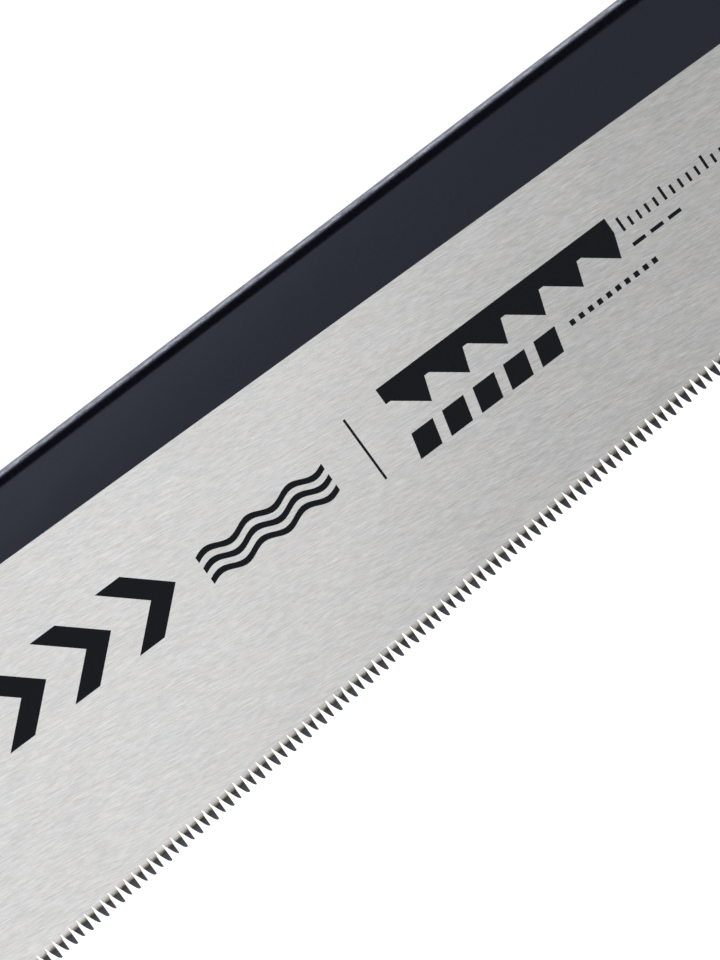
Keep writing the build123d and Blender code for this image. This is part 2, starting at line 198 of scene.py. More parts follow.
def make_blade_steel():
    """Brushed spring steel, with the teeth tempered through straw and brown to blue-black."""
    material, tree, shader = new_material("blade_brushed_steel")
    long_streaks = streak_noise(tree, (2.6, 0.30, 5.0), turn=BRUSH_TURN, detail=3.0, roughness=0.65)
    fine_streaks = streak_noise(tree, (1.7, 0.17, 5.0), turn=BRUSH_TURN + 2.0, detail=2.0, offset=7.0)
    cloud = streak_noise(tree, (16.0, 5.0, 5.0), turn=BRUSH_TURN, detail=2.0, offset=3.0)
    scratch = streak_noise(tree, (10.0, 0.12, 5.0), turn=BRUSH_TURN - 1.5, detail=1.0, offset=17.0)
    pits = streak_noise(tree, (0.5, 0.35, 1.0), turn=BRUSH_TURN, detail=1.0, offset=23.0)
    shade = maths(tree, "MULTIPLY", remap(tree, long_streaks, 0.28, 0.72, 0.91, 1.09),
                  remap(tree, fine_streaks, 0.28, 0.72, 0.87, 1.13))
    shade = maths(tree, "MULTIPLY", shade, remap(tree, cloud, 0.30, 0.70, 0.98, 1.02))
    shade = maths(tree, "MULTIPLY", shade, remap(tree, scratch, 0.70, 0.76, 1.0, 1.22))
    shade = maths(tree, "MULTIPLY", shade, remap(tree, pits, 0.24, 0.18, 1.0, 0.72))
    shade = add_node(tree, "ShaderNodeCombineColor", {"Red": shade, "Green": shade, "Blue": shade})
    tone = streak_noise(tree, (6.0, 1.2, 5.0), turn=BRUSH_TURN, detail=2.0, offset=31.0)
    steel = mix(tree, remap(tree, tone, 0.35, 0.65, 0.0, 1.0), colour(*STEEL_WARM), colour(*STEEL_COOL))
    steel = mix(tree, 1.0, steel, shade.outputs["Color"], "MULTIPLY")
    uneven = streak_noise(tree, (0.6, 0.4, 1.0), detail=3.0, offset=11.0)
    heat = maths(tree, "ADD", tooth_share(tree), remap(tree, uneven, 0.3, 0.7, -0.045, 0.045))
    tint = ramp(tree, heat, [
        (0.04, (1.000, 1.000, 1.000)),
        (0.15, (0.930, 0.905, 0.860)),
        (0.22, (0.740, 0.700, 0.640)),
        (0.29, (0.440, 0.405, 0.360)),
        (0.34, (0.240, 0.215, 0.190)),
        (0.38, (0.105, 0.096, 0.088)),
        (0.43, (0.066, 0.065, 0.064)),
        (0.53, (0.084, 0.087, 0.094)),
        (0.65, (0.090, 0.098, 0.118)),
        (0.82, (0.105, 0.115, 0.145)),
        (1.00, (0.150, 0.162, 0.195)),
    ])
    tree.links.new(mix(tree, 1.0, steel, tint, "MULTIPLY"), shader.inputs["Base Color"])
    tree.links.new(remap(tree, long_streaks, 0.3, 0.7, 0.18, 0.27), shader.inputs["Roughness"])
    tree.links.new(bump(tree, fine_streaks, 0.20, 0.008), shader.inputs["Normal"])
    shader.inputs["Metallic"].default_value = 1.0
    return material


def make_satin_paint(name, base, lift, roughness, tint=(1.0, 1.0, 1.0)):
    """Satin paint over steel, with a fine orange peel. lift is how much paler its cloudy patches are."""
    material, tree, shader = new_material(name)
    peel = streak_noise(tree, (0.5, 0.35, 0.5), detail=3.0)
    cloud = streak_noise(tree, (14.0, 9.0, 9.0), detail=2.0, offset=5.0)
    body = mix(tree, remap(tree, cloud, 0.3, 0.7, 0.0, 1.0), colour(*base),
               colour(*(lift * c for c in base)))
    tree.links.new(body, shader.inputs["Base Color"])
    tree.links.new(remap(tree, peel, 0.3, 0.7, roughness - 0.04, roughness + 0.06),
                   shader.inputs["Roughness"])
    tree.links.new(bump(tree, peel, 0.10, 0.02), shader.inputs["Normal"])
    shader.inputs["Specular Tint"].default_value = colour(*tint)
    return material, tree, shader, body


# How far down the fold the paint is rubbed, how softly that ends, and the ridge that keeps its paint
FOLD_WEAR = 0.42
FOLD_WEAR_EDGE = 0.07
FOLD_FRAY = 0.05
RIDGE_LOW = 0.12
RIDGE_HIGH = 0.03
RIDGE_WEAR = 0.05
BARE_METAL = (0.36, 0.385, 0.45)
SPECK_SPACING = 6.0


def make_back_paint():
    """Blue-black paint, rubbed through to metal along the fold, with a few pale specks of dust."""
    material, tree, shader, body = make_satin_paint(
        "back_satin_paint", (0.0017, 0.0020, 0.0042), 1.5, 0.22, tint=(0.69, 0.76, 1.0)
    )
    place = add_node(tree, "ShaderNodeTexCoord").outputs["Object"]
    across = add_node(tree, "ShaderNodeSeparateXYZ", {"Vector": place}).outputs["Y"]
    frayed = streak_noise(tree, (0.9, 0.25, 0.25), detail=3.0, offset=13.0)
    fray = remap(tree, frayed, 0.3, 0.7, -FOLD_FRAY * MM, FOLD_FRAY * MM)
    height = maths(tree, "ADD", across, fray)
    edge = remap(tree, height, (Y_TOP - FOLD_WEAR - FOLD_WEAR_EDGE) * MM,
                 (Y_TOP - FOLD_WEAR + FOLD_WEAR_EDGE) * MM, 0.0, 1.0)
    ridge = remap(tree, height, (Y_TOP - RIDGE_LOW) * MM, (Y_TOP - RIDGE_HIGH) * MM, 1.0, RIDGE_WEAR)
    edge = maths(tree, "MULTIPLY", edge, ridge)
    patches = streak_noise(tree, (1.6, 0.5, 0.5), detail=4.0, roughness=0.7, offset=19.0)
    worn = maths(tree, "MULTIPLY", edge, remap(tree, patches, 0.30, 0.66, 0.30, 1.0))
    body = mix(tree, worn, body, colour(*BARE_METAL))
    cells = add_node(tree, "ShaderNodeTexVoronoi", {"Vector": place, "Scale": 1.0 / (SPECK_SPACING * MM)})
    specks = remap(tree, cells.outputs["Distance"], 0.012, 0.022, 0.5, 0.0)
    tree.links.new(mix(tree, specks, body, colour(0.5, 0.5, 0.52)), shader.inputs["Base Color"])
    tree.links.new(worn, shader.inputs["Metallic"])
    shader.inputs["IOR"].default_value = 1.58
    return material


def make_ink():
    """Printed black ink, a little uneven."""
    material, tree, shader = new_material("printed_ink")
    patch = streak_noise(tree, (1.5, 0.5, 1.0), turn=BRUSH_TURN, detail=4.0)
    body = mix(tree, remap(tree, patch, 0.3, 0.7, 0.0, 1.0), colour(0.0092, 0.0115, 0.0155),
               colour(0.0118, 0.0144, 0.0190))
    tree.links.new(body, shader.inputs["Base Color"])
    shader.inputs["Specular IOR Level"].default_value = 0.08
    tree.links.new(remap(tree, patch, 0.3, 0.7, 0.50, 0.62), shader.inputs["Roughness"])
    tree.links.new(bump(tree, patch, 0.15, 0.005), shader.inputs["Normal"])
    return material


def make_turned_metal(name, base, roughness, grain=(0.3, 0.3, 0.05), metallic=1.0):
    """Bare machined metal with fine tool marks."""
    material, tree, shader = new_material(name)
    marks = streak_noise(tree, grain, detail=4.0)
    stain = streak_noise(tree, (5.0, 4.0, 4.0), detail=3.0, offset=9.0)
    worn = mix(tree, remap(tree, marks, 0.3, 0.7, 0.0, 1.0), colour(*(0.82 * c for c in base)),
               colour(*base))
    tree.links.new(mix(tree, remap(tree, stain, 0.45, 0.75, 0.0, 0.35), worn,
                       colour(*(0.55 * c for c in base))), shader.inputs["Base Color"])
    tree.links.new(remap(tree, marks, 0.3, 0.7, roughness - 0.06, roughness + 0.10),
                   shader.inputs["Roughness"])
    tree.links.new(bump(tree, marks, 0.2, 0.01), shader.inputs["Normal"])
    shader.inputs["Metallic"].default_value = metallic
    return material


def make_moulded_plastic(name, base, roughness):
    """Moulded plastic with a fine spark-eroded texture and faint rub marks."""
    material, tree, shader = new_material(name)
    pebble = streak_noise(tree, (0.35, 0.35, 0.35), detail=2.0)
    rub = streak_noise(tree, (12.0, 1.2, 1.2), detail=4.0, offset=4.0)
    tree.links.new(mix(tree, remap(tree, rub, 0.45, 0.75, 0.0, 0.6), colour(*base),
                       colour(*(1.9 * c for c in base))), shader.inputs["Base Color"])
    tree.links.new(remap(tree, rub, 0.35, 0.70, roughness + 0.08, roughness - 0.08),
                   shader.inputs["Roughness"])
    tree.links.new(bump(tree, pebble, 0.30, 0.03), shader.inputs["Normal"])
    return material


def make_wood():
    """Bare softwood with its rings along the handle."""
    material, tree, shader = new_material("bare_softwood")
    grain = streak_noise(tree, (60.0, 1.6, 2.4), detail=5.0)
    pores = streak_noise(tree, (8.0, 0.25, 0.25), detail=2.0, offset=6.0)
    body = ramp(tree, grain, [
        (0.30, (0.62, 0.44, 0.25)), (0.48, (0.53, 0.35, 0.18)), (0.58, (0.66, 0.48, 0.28)),
        (0.72, (0.50, 0.32, 0.16)),
    ])
    tree.links.new(mix(tree, remap(tree, pores, 0.5, 0.7, 0.0, 0.3), body, colour(0.30, 0.18, 0.09)),
                   shader.inputs["Base Color"])
    tree.links.new(remap(tree, grain, 0.3, 0.7, 0.50, 0.65), shader.inputs["Roughness"])
    tree.links.new(bump(tree, grain, 0.3, 0.08), shader.inputs["Normal"])
    return material


def make_cane():
    """Split cane: glossy straw-coloured bark with fibres along each strip."""
    material, tree, shader = new_material("split_cane")
    along = add_node(tree, "ShaderNodeUVMap", uv_map="strip").outputs["UV"]
    fibre_place = add_node(tree, "ShaderNodeMapping", {"Vector": along, "Scale": (0.12, 5.0, 1.0)})
    fibres = add_node(tree, "ShaderNodeTexNoise", {
        "Vector": fibre_place.outputs["Vector"], "Scale": 1.0, "Detail": 4.0,
    }).outputs["Fac"]
    patch_place = add_node(tree, "ShaderNodeMapping", {"Vector": along, "Scale": (0.035, 0.3, 1.0)})
    patches = add_node(tree, "ShaderNodeTexNoise", {
        "Vector": patch_place.outputs["Vector"], "Scale": 1.0, "Detail": 3.0,
    }).outputs["Fac"]
    body = ramp(tree, patches, [
        (0.32, (0.46, 0.27, 0.105)), (0.50, (0.60, 0.39, 0.165)), (0.68, (0.70, 0.49, 0.235)),
    ])
    body = mix(tree, remap(tree, fibres, 0.42, 0.72, 0.0, 0.55), body, colour(0.33, 0.18, 0.065))
    tree.links.new(body, shader.inputs["Base Color"])
    tree.links.new(remap(tree, fibres, 0.3, 0.7, 0.34, 0.50), shader.inputs["Roughness"])
    tree.links.new(bump(tree, fibres, 0.25, 0.03), shader.inputs["Normal"])
    return material


def make_cord():
    """Waxed black cord, with the lay of its strands."""
    material, tree, shader = new_material("waxed_cord")
    along = add_node(tree, "ShaderNodeUVMap", uv_map="strip").outputs["UV"]
    strands = add_node(tree, "ShaderNodeTexWave", {
        "Vector": along, "Scale": 0.9, "Distortion": 1.5, "Detail": 2.0,
    }, wave_type="BANDS", bands_direction="DIAGONAL").outputs["Fac"]
    tree.links.new(mix(tree, strands, colour(0.012, 0.011, 0.010), colour(0.055, 0.050, 0.045)),
                   shader.inputs["Base Color"])
    tree.links.new(remap(tree, strands, 0.0, 1.0, 0.70, 0.52), shader.inputs["Roughness"])
    tree.links.new(bump(tree, strands, 0.6, 0.08), shader.inputs["Normal"])
    return material


BLADE_STEEL = make_blade_steel()
BEVEL_STEEL = make_turned_metal("ground_bevel_steel", (0.88, 0.84, 0.76), 0.34, grain=(0.05, 0.3, 0.3))
# Dark steel for the bevels next to the gullets: a painted shade that stands for the shade inside the
# narrow gullets
GULLET_SHADE_STEEL = make_turned_metal("painted_gullet_shade_steel", (0.085, 0.072, 0.060), 0.45, grain=(0.1, 0.3, 0.3))
INK = make_ink()
CANE = make_cane()
CORD = make_cord()
PLAIN_STEEL = make_turned_metal("turned_steel", (0.58, 0.57, 0.55), 0.30)

CAD_MATERIALS = {
    "back": make_back_paint(),
    "holder": make_satin_paint("holder_satin_paint", (0.012, 0.012, 0.014), 1.25, 0.34)[0],
    "clamp_pad_upper": make_moulded_plastic("pad_plastic", (0.05, 0.05, 0.05), 0.55),
    "stop_pin": PLAIN_STEEL,
    "clamp_screw": PLAIN_STEEL,
    "thumb_knob": make_turned_metal("knob_nickel", (0.66, 0.64, 0.59), 0.26),
    "knob_washer": PLAIN_STEEL,
    "clamp_nut": PLAIN_STEEL,
    "ferrule": make_moulded_plastic("ferrule_plastic", (0.010, 0.010, 0.011), 0.38),
    "ferrule_pin": PLAIN_STEEL,
    "handle_core": make_wood(),
    "holder_rivets": PLAIN_STEEL,
    "butt_cap_pin": PLAIN_STEEL,
    "hang_eyelet": make_turned_metal("worn_brass", (0.72, 0.50, 0.20), 0.30),
}
CAD_MATERIALS["clamp_pad_lower"] = CAD_MATERIALS["clamp_pad_upper"]
CAD_MATERIALS["butt_cap"] = CAD_MATERIALS["ferrule"]

for node_name, material in CAD_MATERIALS.items():
    for material_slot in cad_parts[node_name].material_slots:
        material_slot.material = material

# ---------------------------------------------------------------- meshes


def make_piece(name, points, faces, material, body, smooth=False):
    """A mesh piece from points in millimetres. It rides on a CAD body."""
    mesh = bpy.data.meshes.new(name)
    mesh.from_pydata([Vector(p) * MM for p in points], [], faces)
    mesh.materials.append(material)
    mesh.validate()
    if smooth:
        mesh.shade_smooth()
    piece = bpy.data.objects.new(name, mesh)
    bpy.context.scene.collection.objects.link(piece)
    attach(piece, body)
    return piece


def rounded_corner(before, corner, after, radius, steps):
    """Points along the arc that rounds a corner of a path in the plane."""
    incoming = (corner - before).normalized()
    outgoing = (after - corner).normalized()
    turn = incoming.angle(outgoing)
    setback = radius * math.tan(turn / 2)
    start = corner - incoming * setback
    side = 1 if incoming.x * outgoing.y - incoming.y * outgoing.x > 0 else -1
    centre = start + side * radius * Vector((-incoming.y, incoming.x))
    points = []
    for i in range(steps + 1):
        angle = side * turn * i / steps
        spoke = start - centre
        points.append(centre + Vector((
            spoke.x * math.cos(angle) - spoke.y * math.sin(angle),
            spoke.x * math.sin(angle) + spoke.y * math.cos(angle),
        )))
    return points


# ---------------------------------------------------------------- blade

# The plate's outline, with its tang, slots and tooth spacing. Depths are measured down from Y_TOP.
BLADE_THICKNESS = BLADE_HIGH.z - BLADE_LOW.z
TOOTH_PITCH = 1.487
TOOTH_COUNT = 161
GULLET_STEP = 0.25
END_LAND = 1.03
TOE_RAKE = 4.0
HEEL_LAND = 4.0
HEEL_RUN = 8.0
HEEL_CORNER_RADIUS = 3.0
HEEL_SWEEP_RADIUS = 18.0
TANG_DEPTH = 25.5
TANG_STEP_DEPTH = 15.0
X_TANG_REAR = 4.0
X_SCREW = -14.0
SCREW_DEPTH = 20.6
SLOT_RADIUS = 2.8
X_STOP_PIN = 18.0
STOP_PIN_DEPTH = 7.7
NOTCH_RADIUS = 1.8

# The teeth are ground on one face and bent away from it, turn about
TOOTH_SET = 0.10
TOE_BEVEL = 0.08
HEEL_BEVEL = 0.10
TIP_BEVEL = 0.07

# Rows across a tooth from its gullets to its tip: share of the depth, the toe side and the heel side
# as shares of the pitch, and how far the bevel has widened
TOOTH_ROWS = (
    (0.075, 0.062, 0.970, 0.65),
    (0.150, 0.098, 0.945, 0.75),
    (0.290, 0.132, 0.930, 0.85),
    (0.400, 0.172, 0.916, 1.00),
    (0.590, 0.270, 0.888, 1.00),
    (0.735, 0.355, 0.866, 1.00),
    (0.880, 0.460, 0.845, 1.00),
    (0.960, 0.560, 0.832, 1.00),
    (1.000, 0.640, 0.815, 1.00),
)

# How many rows below a gullet have their bevels painted with dark steel as painted shade for the narrow
# gullet, the least width of a tip, and the blade's material slots
PAINTED_SHADE_ROWS = 3
BLUNT = 0.03
GROUND = 1
PAINTED_SHADE_SLOT = 2


def tooth_frame():
    """Start point and directions of the tooth line in the plane of the blade."""
    tilt = math.atan(DEPTH_SLOPE)
    along = Vector((math.cos(tilt), math.sin(tilt)))
    inward = Vector((-math.sin(tilt), math.cos(tilt)))
    corner = Vector((X_TOE, BLADE_LOW.y))
    return corner, corner + along * END_LAND, along, inward


def slot_path(x_open, x, y, radius, steps=12):
    """A slot open at x_open and round at x, walked from its lower edge to its upper edge."""
    arc = []
    for i in range(steps + 1):
        angle = -math.pi / 2 - math.pi * i / steps
        arc.append(Vector((x + radius * math.cos(angle), y + radius * math.sin(angle))))
    return [Vector((x_open, y - radius))] + arc + [Vector((x_open, y + radius))]


def plate_outline():
    """The plate without its teeth, walked along the gullets from toe to heel and back along the top."""
    corner, start, along, inward = tooth_frame()
    gullet_height = TOOTH_DEPTH - TIP_REACH
    gullets = []
    for i in range(TOOTH_COUNT + 1):
        gullets.append(start + along * (GULLET_STEP + i * TOOTH_PITCH) + inward * gullet_height)
    last_tip = gullets[-1] - inward * gullet_height + along * GULLET_STEP
    heel = last_tip + Vector((HEEL_LAND, HEEL_LAND * DEPTH_SLOPE))
    tang_y = Y_TOP - TANG_DEPTH
    sweep = Vector((heel.x + HEEL_RUN, tang_y))
    tang_end = Vector((X_TANG_REAR, tang_y))
    step_y = Y_TOP - TANG_STEP_DEPTH
    path = [corner, start] + gullets + [last_tip]
    path += rounded_corner(last_tip, heel, sweep, HEEL_CORNER_RADIUS, 8)
    path += rounded_corner(heel, sweep, tang_end, HEEL_SWEEP_RADIUS, 20)
    path += [tang_end]
    path += slot_path(X_TANG_REAR, X_SCREW, Y_TOP - SCREW_DEPTH, SLOT_RADIUS)
    path += [Vector((X_TANG_REAR, step_y)), Vector((BLADE_HIGH.x, step_y))]
    path += slot_path(BLADE_HIGH.x, X_STOP_PIN, Y_TOP - STOP_PIN_DEPTH, NOTCH_RADIUS)
    path += [Vector((BLADE_HIGH.x, BLADE_HIGH.y)), Vector((X_TOE + TOE_RAKE, BLADE_HIGH.y))]
    return path, gullets, along, inward


def make_blade():
    """The blade as one closed mesh: a plate, and a bevelled and set tooth in each gap."""
    path, gullets, along, inward = plate_outline()
    half = BLADE_THICKNESS / 2
    points, faces, bevels = [], [], []

    def add_point(place, z):
        points.append((place.x, place.y, Z_BLADE + z))
        return len(points) - 1

    top = [add_point(p, half) for p in path]
    under = [add_point(p, -half) for p in path]
    faces.append(tuple(top))
    faces.append(tuple(reversed(under)))
    first_gullet = path.index(gullets[0])
    open_edges = range(first_gullet, first_gullet + TOOTH_COUNT)
    for i in range(len(path)):
        if i not in open_edges:
            j = (i + 1) % len(path)
            faces.append((top[j], top[i], under[i], under[j]))

    for i in range(TOOTH_COUNT):
        bevel_up = i % 2 == 1
        bend = -TOOTH_SET if bevel_up else TOOTH_SET
        base = first_gullet + i
        rows = [(top[base], top[base + 1], under[base], under[base + 1])]
        for share, toe_side, heel_side, widened in TOOTH_ROWS:
            row = []
            for z, ground in ((half, bevel_up), (-half, not bevel_up)):
                growth = widened if ground else 0.0
                drop = share * (TOOTH_DEPTH - growth * TIP_BEVEL)
                toe = toe_side * TOOTH_PITCH + growth * TOE_BEVEL
                heel = max(heel_side * TOOTH_PITCH - growth * HEEL_BEVEL, toe + BLUNT)
                for travel in (toe, heel):
                    place = gullets[i] + along * travel - inward * drop
                    row.append(add_point(place, z + bend * share))
            rows.append(tuple(row))
        for number, (a, b) in enumerate(zip(rows, rows[1:])):
            faces.append((a[0], b[0], b[1], a[1]))
            faces.append((a[3], b[3], b[2], a[2]))
            # Bevels next to a gullet on the teeth ground on top get the dark steel of the painted gullet
            # shade
            bevel_slot = PAINTED_SHADE_SLOT if number < PAINTED_SHADE_ROWS and bevel_up else GROUND
            bevels += [(len(faces), bevel_slot), (len(faces) + 1, bevel_slot)]
            faces.append((a[2], b[2], b[0], a[0]))
            faces.append((a[1], b[1], b[3], a[3]))
        last = rows[-1]
        bevels.append((len(faces), GROUND))
        faces.append((last[0], last[2], last[3], last[1]))

    piece = make_piece("toothed_blade", points, faces, BLADE_STEEL, "saw_blade")
    piece.data.materials.append(BEVEL_STEEL)
    # The last slot is the dark steel painted as shade in the gullets
    piece.data.materials.append(GULLET_SHADE_STEEL)
    for number, bevel_slot in bevels:
        piece.data.polygons[number].material_index = bevel_slot
    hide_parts("blade")
    return piece


make_blade()

# ---------------------------------------------------------------- print on the blade

# The ink stands a hair above the blade. The print is turned a little, in degrees.
INK_THICKNESS = 0.012
INK_GAP = 0.004
PRINT_TURN = -0.8


def print_place(x, depth):
    """A point of the print: x along the saw and depth below the top of the back at the view's middle."""
    turn = math.radians(PRINT_TURN)
    return Vector((x, Y_TOP - depth + (x - X_VIEW) * math.tan(turn)))


def add_print(name, outlines):
    """Ink shapes from outlines of (x, depth) points, anticlockwise seen from above, as closed prisms."""
    points, faces = [], []
    low = BLADE_HIGH.z + INK_GAP
    for outline in outlines:
        places = [print_place(*p) for p in outline]
        area = sum(a.x * b.y - b.x * a.y for a, b in zip(places, places[1:] + places[:1]))
        if area < 0:
            places.reverse()
        first = len(points)
        count = len(places)
        points += [(p.x, p.y, low) for p in places]
        points += [(p.x, p.y, low + INK_THICKNESS) for p in places]
        faces.append(tuple(first + count + i for i in range(count)))
        faces.append(tuple(first + i for i in reversed(range(count))))
        for i in range(count):
            j = (i + 1) % count
            faces.append((first + i, first + j, first + count + j, first + count + i))
    piece = make_piece(name, points, faces, INK, "saw_blade")
    return piece


def bar(x, depth, width, height, lean=0.0):
    """A bar from its lower left corner, leaning by a share of its height."""
    shift = lean * height
    lower = [(x, depth), (x + width, depth)]
    upper = [(x + width + shift, depth - height), (x + shift, depth - height)]
    return lower + upper


def chevron(x, depth, reach, thick, height):
    """An arrowhead that points along +X."""
    return [
        (x, depth), (x + thick, depth), (x + thick + reach, depth - height / 2),
        (x + thick, depth - height), (x, depth - height), (x + reach, depth - height / 2),
    ]


def wave(x, depth, length, thick, swing, waves, steps=24):
    """A wavy line, like a line of wood grain."""
    lower, upper = [], []
    for i in range(steps * waves + 1):
        t = i / (steps * waves)
        middle = depth - swing * math.sin(2 * math.pi * waves * t)
        lower.append((x + length * t, middle + thick / 2))
        upper.append((x + length * t, middle - thick / 2))
    return lower + upper[::-1]


def saw_teeth(x, depth, count, pitch, height, rib):
    """A solid strip with a row of right-angled teeth below it."""
    outline = [(x + count * pitch, depth - height), (x, depth - height), (x, depth - height + rib)]
    for i in range(count):
        outline.append((x + (i + 0.12) * pitch, depth - height + rib))
        outline.append((x + (i + 0.82) * pitch, depth))
        outline.append((x + (i + 1) * pitch, depth - height + rib))
    return outline


add_print("print_arrows", [chevron(X_VIEW - 63.5 + 11.5 * i, 34.0, 6.0, 4.4, 11.0) for i in range(3)])
add_print("print_grain", [
    wave(X_VIEW - 25.8, 27.9 + 1.9 * i, 22.6, 0.95, 0.55, 3) for i in range(3)
])
add_print("print_divider", [bar(X_VIEW + 3.0, 35.0, 0.38, 10.7)])
add_print("print_teeth", [saw_teeth(X_VIEW + 9.5, 29.9, 6, 7.0, 6.3, 2.6)])
add_print("print_bars", [bar(X_VIEW + 9.0 + 5.6 * i, 35.8, 3.9, 3.9, 0.25) for i in range(5)])
add_print("print_ticks_long", [
    bar(X_VIEW + 52.8 + 1.55 * i, 26.9, 0.45, 2.3 if i % 5 == 0 else 1.5) for i in range(21)
])
add_print("print_ticks_short", [bar(X_VIEW + 52.8 + 3.3 * i, 29.6, 2.3, 0.6) for i in range(3)])
add_print("print_dots", [bar(X_VIEW + 38.4 + 1.7 * i, 33.5, 0.85, 0.85) for i in range(10)])

# ---------------------------------------------------------------- handle binding

# The handle's corner radius, the share of a turn in which a strip steps on to the next turn, and how
# much it wanders
HANDLE_CORNER = 11.0
STEP_SHARE = 0.14
WOBBLE = 0.025


def handle_outline(inset, steps=8):
    """Points round the handle's section in the YZ plane, with outward normals, from the middle of +Z."""
    half_y = (FERRULE_HIGH.y - FERRULE_LOW.y) / 2 - inset
    half_z = (FERRULE_HIGH.z - FERRULE_LOW.z) / 2 - inset
    radius = HANDLE_CORNER - inset
    flat_y, flat_z = half_y - radius, half_z - radius
    ring = []
    for corner, (sign_y, sign_z) in enumerate(((1, 1), (1, -1), (-1, -1), (-1, 1))):
        for i in range(steps + 1):
            angle = math.pi / 2 - corner * math.pi / 2 - i * math.pi / 2 / steps
            normal = Vector((0, math.cos(angle), math.sin(angle)))
            centre = Vector((0, Y_AXIS + sign_y * flat_y, Z_AXIS + sign_z * flat_z))
            ring.append((centre + normal * radius, normal))
    return ring


def ring_sampler(inset):
    """A function from a share of a turn to the point and normal on the handle's section."""
    ring = handle_outline(inset)
    places = [p for p, n in ring]
    lengths = [0.0]
    for a, b in zip(places, places[1:] + places[:1]):
        lengths.append(lengths[-1] + (b - a).length)
    total = lengths[-1]

    def sample(share):
        travel = (share % 1.0) * total
        for i, (low, high) in enumerate(zip(lengths, lengths[1:])):
            if travel <= high:
                t = (travel - low) / (high - low)
                a, b = ring[i], ring[(i + 1) % len(ring)]
                return a[0].lerp(b[0], t), a[1].lerp(b[1], t).normalized()
        return ring[0]

    return sample, total


def wind_strip(name, x_start, x_end, pitch, section, inset, material, steps=96):
    """A strip wound round the handle in level turns, each stepping on to the next under the handle, with
    both ends tucked under a turn. section lists (along, out) points of the strip's cross-section."""
    sample, girth = ring_sampler(inset)
    width = max(a for a, out in section) - min(a for a, out in section)
    first = x_start + width / 2
    turns = round((x_end - x_start - width) / pitch) + 1
    step = (x_end - x_start - width) / (turns - 1)
    lead = round(STEP_SHARE * steps)
    count = turns * steps + lead
    thickness = max(out for a, out in section)
    points, faces, uvs = [], [], []
    size = len(section)
    cache = [sample(0.5 + i / steps) for i in range(steps)]
    for i in range(count + 1):
        base, normal = cache[(i - lead) % steps]
        turn, share = divmod(i - lead, steps)
        slide = max(0.0, (share - steps + lead) / lead)
        advance = turn + slide * slide * (3.0 - 2.0 * slide)
        x = first + step * min(max(advance, 0.0), turns - 1.0)
        sunk = thickness * max(0.0, lead - i, i - count + lead) / lead
        wobble = WOBBLE * (math.sin(i * 0.37) + math.sin(i * 0.113 + 1.0))
        for a, out in section:
            place = base + normal * (out - sunk)
            points.append((x + a + wobble, place.y, place.z))
    for i in range(count):
        for k in range(size):
            m = (k + 1) % size
            faces.append((i * size + k, i * size + m, (i + 1) * size + m, (i + 1) * size + k))
            along = girth * i / steps
            ahead = girth * (i + 1) / steps
            uvs += [(along, k), (along, k + 1), (ahead, k + 1), (ahead, k)]
    faces.append(tuple(reversed(range(size))))
    uvs += [(0.0, k) for k in reversed(range(size))]
    faces.append(tuple(count * size + k for k in range(size)))
    uvs += [(girth * turns, k) for k in range(size)]
    piece = make_piece(name, points, faces, material, "handle", smooth=True)
    layer = piece.data.uv_layers.new(name="strip")
    layer.data.foreach_set("uv", [v for pair in uvs for v in pair])
    return piece


def dome_section(width, thickness, steps=8):
    """A strip's section: flat inside, gently domed outside with rounded edges."""
    section = []
    for i in range(steps + 1):
        angle = math.pi * i / steps
        across = math.cos(angle)
        rise = 0.35 + 0.65 * math.sin(angle) ** 0.45 if 0 < i < steps else 0.2
        section.append((across * width / 2, thickness * rise))
    section.append((-width / 2, 0.0))
    section.append((width / 2, 0.0))
    return section


def round_section(diameter, steps=10):
    """A cord's round section, standing on its inner side."""
    angles = [2 * math.pi * i / steps for i in range(steps)]
    return [(diameter / 2 * math.cos(a), diameter / 2 * (1 + math.sin(a))) for a in angles]


# The inset of the bare wood below the ferrule's face is the same under the cane and the cord
CANE_PITCH = 3.30
CANE_WIDTH = 3.15
CANE_THICKNESS = 1.15
CORE_INSET = 1.70
CORD_DIAMETER = 1.50

cane = wind_strip(
    "cane_winding", WRAP_LOW.x, WRAP_HIGH.x, CANE_PITCH, dome_section(CANE_WIDTH, CANE_THICKNESS),
    CORE_INSET, CANE,
)
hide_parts("cane_wrap")
for node_name in ("front_binding", "rear_binding"):
    low, high = box_mm(node_name)
    cord = wind_strip(
        node_name + "_cord", low.x, high.x, CORD_DIAMETER, round_section(CORD_DIAMETER), CORE_INSET,
        CORD,
    )
    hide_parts(node_name)

# ---------------------------------------------------------------- floor, light and camera

FLOOR_SIZE = 6.0
FLOOR_GLOW = 0.95
FLOOR_DROP = 0.0005


def make_floor():
    """A plain white floor, lit evenly."""
    mesh = bpy.data.meshes.new("floor")
    half = FLOOR_SIZE / 2
    corners = [(-half, -half, 0), (half, -half, 0), (half, half, 0), (-half, half, 0)]
    mesh.from_pydata(corners, [], [(0, 1, 2, 3)])
    floor = bpy.data.objects.new("floor", mesh)
    floor.location.z = -FLOOR_DROP
    bpy.context.scene.collection.objects.link(floor)
    material, tree, shader = new_material("pale_floor")
    shader.inputs["Base Color"].default_value = colour(0.45, 0.45, 0.45)
    shader.inputs["Roughness"].default_value = 0.9
    shader.inputs["Emission Color"].default_value = colour(1.0, 1.0, 1.0)
    shader.inputs["Emission Strength"].default_value = FLOOR_GLOW
    mesh.materials.append(material)


def add_area(name, place, target, width, height, power, tint=(1.0, 1.0, 1.0)):
    """A soft rectangular lamp aimed at a target. Lengths are in metres."""
    lamp = bpy.data.lights.new(name, "AREA")
    lamp.shape = "RECTANGLE"
    lamp.size = width
    lamp.size_y = height
    lamp.energy = power
    lamp.color = tint
    holder = bpy.data.objects.new(name, lamp)
    holder.location = place
    holder.rotation_euler = (Vector(target) - Vector(place)).to_track_quat("-Z", "Y").to_euler()
    bpy.context.scene.collection.objects.link(holder)
    return holder


def radiance_power(width, height, radiance):
    """Power in watts of a one-sided rectangular lamp with that radiance."""
    return math.pi * width * height * radiance


SOFTBOX_TURN = math.radians(-37.0)


